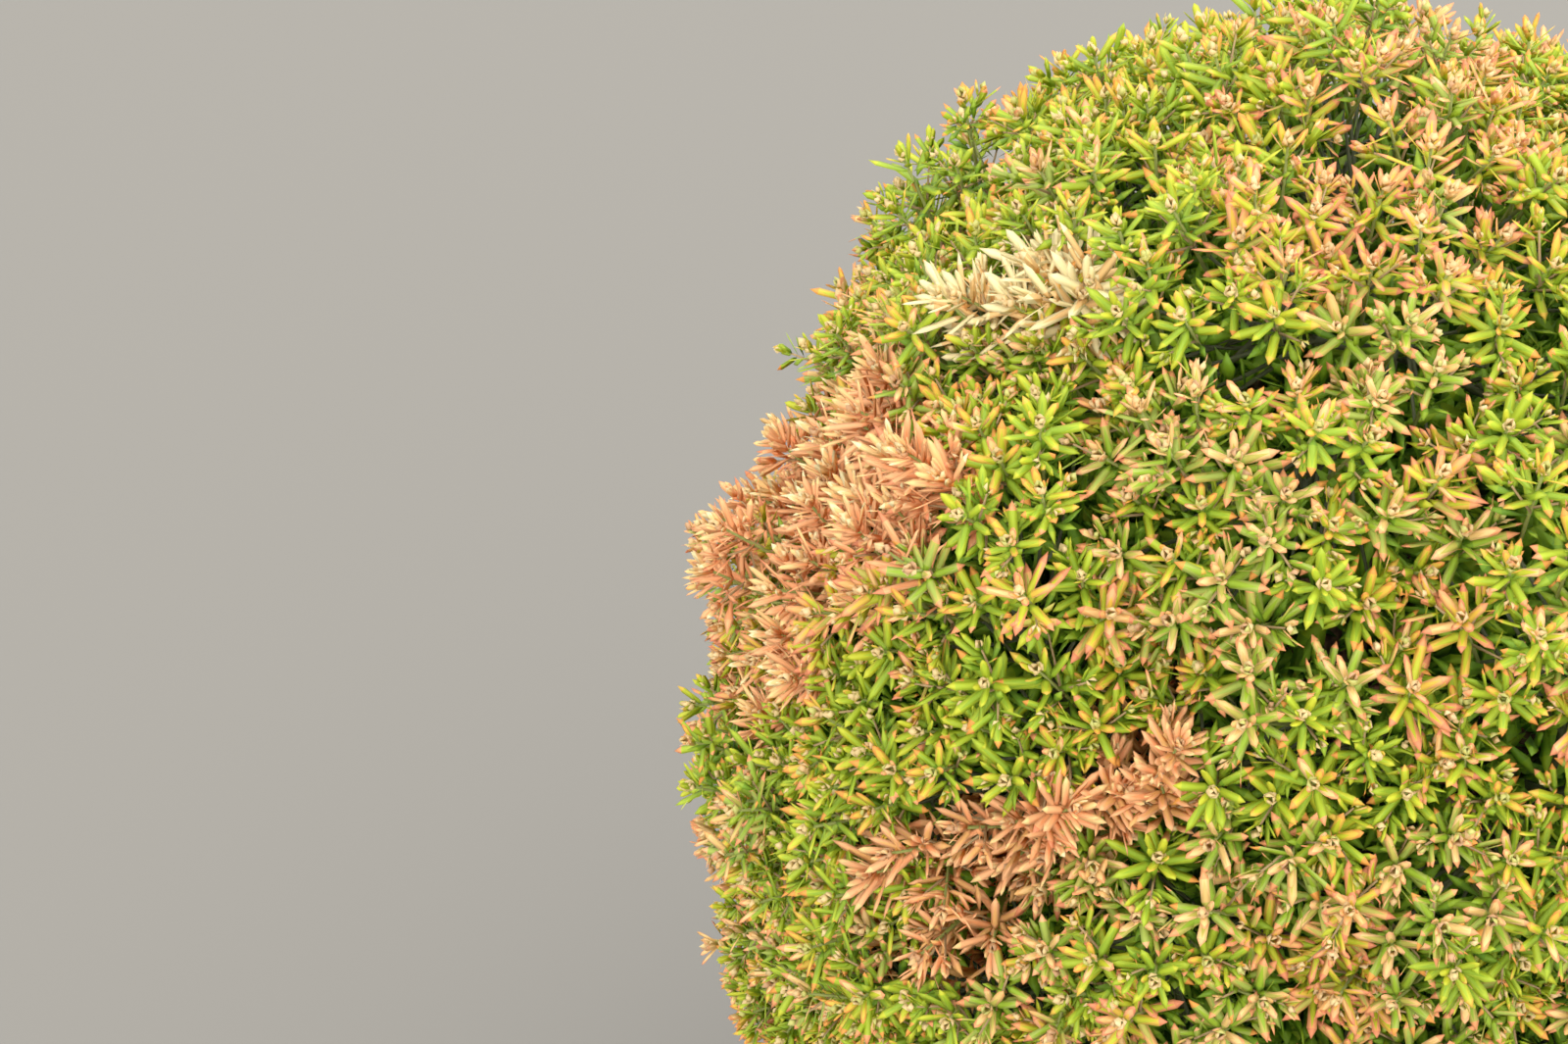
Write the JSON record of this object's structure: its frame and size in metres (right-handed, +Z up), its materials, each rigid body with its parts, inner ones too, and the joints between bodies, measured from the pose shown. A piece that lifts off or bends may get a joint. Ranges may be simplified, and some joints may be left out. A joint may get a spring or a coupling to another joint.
{
  "type": "potted dwarf globe conifer",
  "caption": "Dwarf globe conifer with short flat needles in a dense lobed crown, on a short hidden trunk, in a round tapered nursery pot filled with soil and bark mulch.",
  "frame": {"origin": "centre of the pot's flat underside", "axes": "+Z up along the trunk; -Y is the side that faces the picture's camera, +X is to its right"},
  "size_m": [0.2725, 0.2688, 0.4468],
  "materials": {
    "pot_plastic": "satin",
    "soil": "matte",
    "bark_mulch": "matte",
    "bark": "matte",
    "foliage": "matte"
  },
  "bodies": {
    "root": {"pot": "pot_plastic", "soil": "soil", "mulch": "bark_mulch", "trunk": "bark", "bough_upper_1": "bark", "bough_upper_2": "bark", "bough_upper_3": "bark", "bough_upper_4": "bark", "bough_upper_5": "bark", "bough_upper_6": "bark", "bough_middle_1": "bark", "bough_middle_2": "bark", "bough_middle_3": "bark", "bough_middle_4": "bark", "bough_middle_5": "bark", "bough_middle_6": "bark", "bough_middle_7": "bark", "bough_middle_8": "bark", "bough_middle_9": "bark", "bough_lower_1": "bark", "bough_lower_2": "bark", "bough_lower_3": "bark", "bough_lower_4": "bark", "bough_lower_5": "bark", "bough_lower_6": "bark", "bough_lower_7": "bark", "bough_lower_8": "bark", "bough_lower_9": "bark", "foliage_top": "foliage", "foliage_upper_1": "foliage", "foliage_upper_2": "foliage", "foliage_upper_3": "foliage", "foliage_upper_4": "foliage", "foliage_upper_5": "foliage", "foliage_upper_6": "foliage", "foliage_middle_1": "foliage", "foliage_middle_2": "foliage", "foliage_middle_3": "foliage", "foliage_middle_4": "foliage", "foliage_middle_5": "foliage", "foliage_middle_6": "foliage", "foliage_middle_7": "foliage", "foliage_middle_8": "foliage", "foliage_middle_9": "foliage", "foliage_lower_1": "foliage", "foliage_lower_2": "foliage", "foliage_lower_3": "foliage", "foliage_lower_4": "foliage", "foliage_lower_5": "foliage", "foliage_lower_6": "foliage", "foliage_lower_7": "foliage", "foliage_lower_8": "foliage", "foliage_lower_9": "foliage"}
  },
  "joints": []
}
